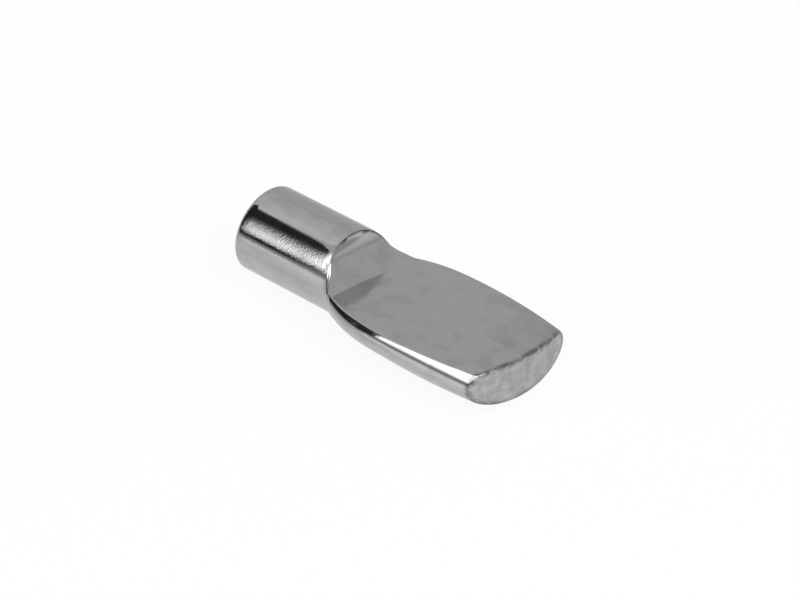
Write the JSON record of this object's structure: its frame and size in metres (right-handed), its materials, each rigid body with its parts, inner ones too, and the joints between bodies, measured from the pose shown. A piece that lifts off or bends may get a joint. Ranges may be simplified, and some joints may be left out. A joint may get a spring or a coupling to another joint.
{
  "type": "shelf support pin",
  "caption": "One-piece stamped steel shelf pin: a round peg for a 5 mm hole, flared and flattened into a spoon-shaped paddle that the shelf rests on.",
  "frame": {"origin": "on the pin's axis, at the shoulder where the straight round pin ends and its sides start to flare: the mouth of the cabinet's hole", "axes": "+X along the pin's axis towards the paddle's tip, +Z out of the flat that the shelf rests on, +Y across the paddle"},
  "size_m": [0.02, 0.008, 0.0053],
  "materials": {
    "nickel": "bright barrel-plated nickel, finely speckled"
  },
  "bodies": {
    "root": {"shelf_pin": "nickel"}
  },
  "joints": []
}
